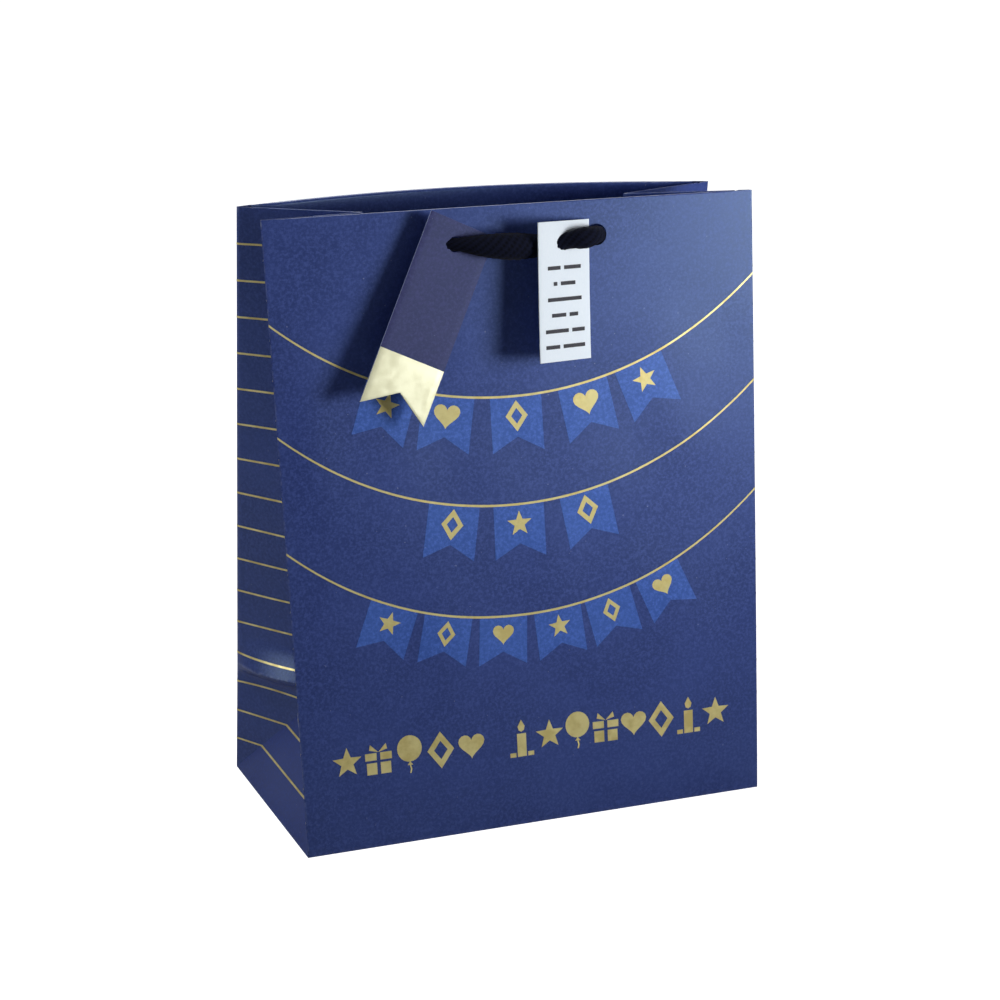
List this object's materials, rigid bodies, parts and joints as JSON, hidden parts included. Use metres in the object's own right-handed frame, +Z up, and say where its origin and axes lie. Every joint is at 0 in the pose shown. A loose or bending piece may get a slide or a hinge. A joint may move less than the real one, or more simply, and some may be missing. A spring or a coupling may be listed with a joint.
{
  "type": "gift bag",
  "caption": "Upright folded-paper gift bag with inward-folded gussets, turned-in top, base board, tucked cord handles and two hanging tags.",
  "frame": {"origin": "on the floor under the middle of the rectangular base", "axes": "+Z up the bag, the decorated front panel faces -Y, +X to the right seen from the front"},
  "size_m": [0.205, 0.1, 0.2549],
  "materials": {
    "printed_paper": "navy printed art paper, satin, with gold foil artwork",
    "gusset_paper": "the same navy printed paper on the folded sides",
    "uncoated_paper": "white uncoated inner side of the paper",
    "greyboard": "grey reinforcing card, matte",
    "cord": "soft black-navy twisted cotton cord",
    "gift_tag_card": "navy card with a pale gold swallowtail end",
    "info_tag_card": "white card, satin"
  },
  "bodies": {
    "rear_body": {"back_panel_lower": "printed_paper", "back_panel_upper": "printed_paper", "back_top_card": "greyboard", "back_hem": "printed_paper", "left_gusset_rear_lower": "gusset_paper", "left_gusset_rear_upper": "gusset_paper", "left_gusset_rear_hem": "printed_paper", "right_gusset_rear_lower": "gusset_paper", "right_gusset_rear_upper": "gusset_paper", "right_gusset_rear_hem": "printed_paper", "left_base_triangle": "gusset_paper", "right_base_triangle": "gusset_paper", "side_seam_flap": "uncoated_paper", "base_flap_rear": "printed_paper", "base_flap_front": "printed_paper", "base_flap_left": "uncoated_paper", "base_flap_right": "uncoated_paper", "back_handle_cord": "cord", "back_knot_left": "cord", "back_knot_right": "cord"},
    "front_body": {"front_panel": "printed_paper", "front_top_card": "greyboard", "front_hem": "printed_paper", "left_gusset_front_lower": "gusset_paper", "left_gusset_front_upper": "gusset_paper", "left_gusset_front_hem": "printed_paper", "right_gusset_front_lower": "gusset_paper", "right_gusset_front_upper": "gusset_paper", "right_gusset_front_hem": "printed_paper", "front_handle_cord": "cord", "front_knot_left": "cord", "front_knot_right": "cord"},
    "gift_tag": {"gift_tag": "gift_tag_card"},
    "info_tag": {"info_tag": "info_tag_card"},
    "base_board": {"base_board": "greyboard"}
  },
  "joints": [
    {"name": "mouth_open", "type": "hinge", "parent": "rear_body", "child": "front_body", "pos_m": [0, -0.05, 0], "axis": [1, 0, 0], "range_deg": [0, 9]},
    {"name": "gift_tag_swing", "type": "hinge", "parent": "front_body", "child": "gift_tag", "pos_m": [-0.0305, -0.0316, 0.2409], "axis": [-0.9004, -0.0017, 0.4351], "range_deg": [0, 13]},
    {"name": "info_tag_swing", "type": "hinge", "parent": "front_body", "child": "info_tag", "pos_m": [0.0125, -0.0379, 0.2402], "axis": [-0.9391, -0.3341, 0.0801], "range_deg": [0, 13]},
    {"name": "base_board_lift", "type": "slide", "parent": "rear_body", "child": "base_board", "axis": [0, 0, 1], "range_m": [0, 0.004]}
  ]
}
